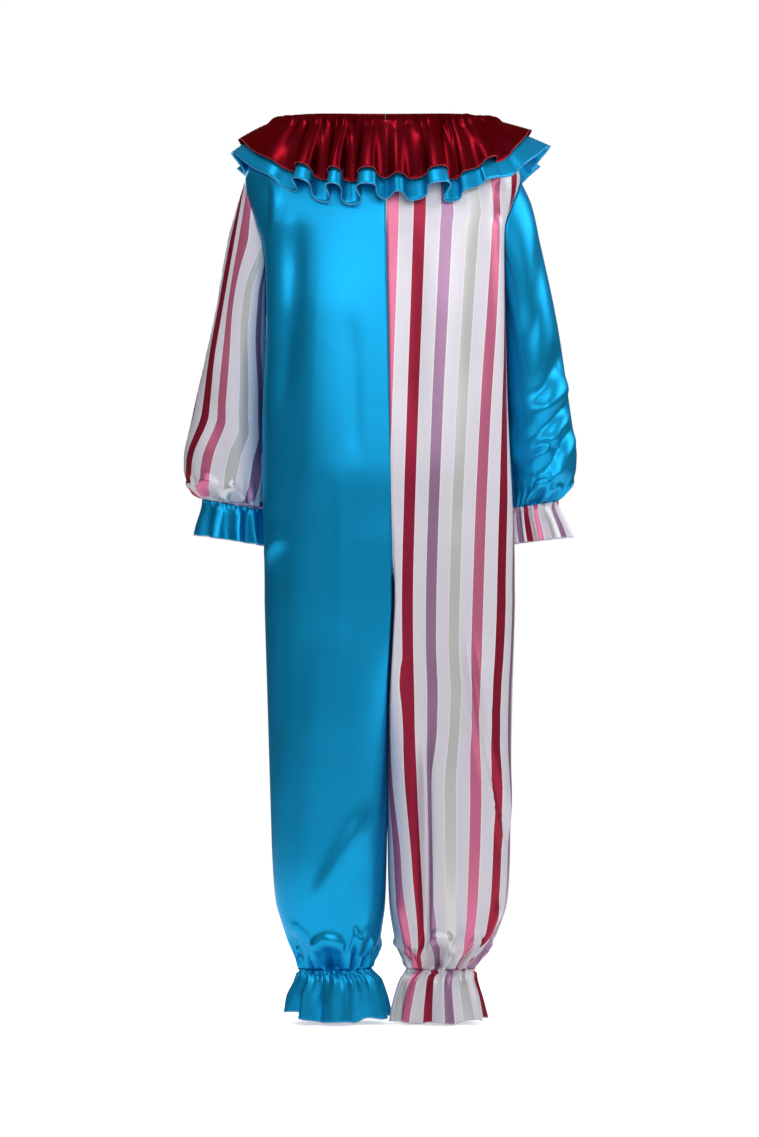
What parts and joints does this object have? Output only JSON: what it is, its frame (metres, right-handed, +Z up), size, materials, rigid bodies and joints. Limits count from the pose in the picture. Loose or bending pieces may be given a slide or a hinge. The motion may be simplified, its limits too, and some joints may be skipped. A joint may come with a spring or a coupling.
{
  "type": "clown jumpsuit",
  "caption": "One-piece loose satin stage costume, half plain and half striped, filled out as worn, with a double ruffled collar, elastic wrists and ankles and ruffled hems",
  "frame": {"origin": "the middle of the neck seam, level with the seam at the centre back, which is where the wearer's neck and shoulders hold the suit up", "axes": "+Z up along the body, -Y out of the centre back, where the collar is slit, +Y out of the front, +X to the wearer's right"},
  "size_m": [0.6749, 0.3611, 1.5452],
  "materials": {
    "back_left": "blue polyester satin",
    "back_right": "white polyester satin with woven stripes in burgundy, pink, grey and lilac",
    "front_left": "blue polyester satin",
    "front_right": "white polyester satin with woven stripes in burgundy, pink, grey and lilac",
    "sleeve_left": "white polyester satin with woven stripes in burgundy, pink, grey and lilac",
    "sleeve_right": "blue polyester satin",
    "cuff_ruffle_left": "blue polyester satin",
    "cuff_ruffle_right": "white polyester satin with woven stripes in burgundy, pink, grey and lilac",
    "ankle_ruffle_left": "blue polyester satin",
    "ankle_ruffle_right": "white polyester satin with woven stripes in burgundy, pink, grey and lilac",
    "neck_casing": "burgundy polyester satin",
    "collar_top_ruffle": "burgundy polyester satin",
    "collar_under_ruffle": "blue polyester satin"
  },
  "bodies": {
    "root": {"back_left": "back_left", "back_right": "back_right", "front_left": "front_left", "front_right": "front_right", "sleeve_left": "sleeve_left", "sleeve_right": "sleeve_right", "cuff_ruffle_left": "cuff_ruffle_left", "cuff_ruffle_right": "cuff_ruffle_right", "ankle_ruffle_left": "ankle_ruffle_left", "ankle_ruffle_right": "ankle_ruffle_right", "neck_casing": "neck_casing", "collar_top_ruffle": "collar_top_ruffle", "collar_under_ruffle": "collar_under_ruffle"}
  },
  "joints": []
}
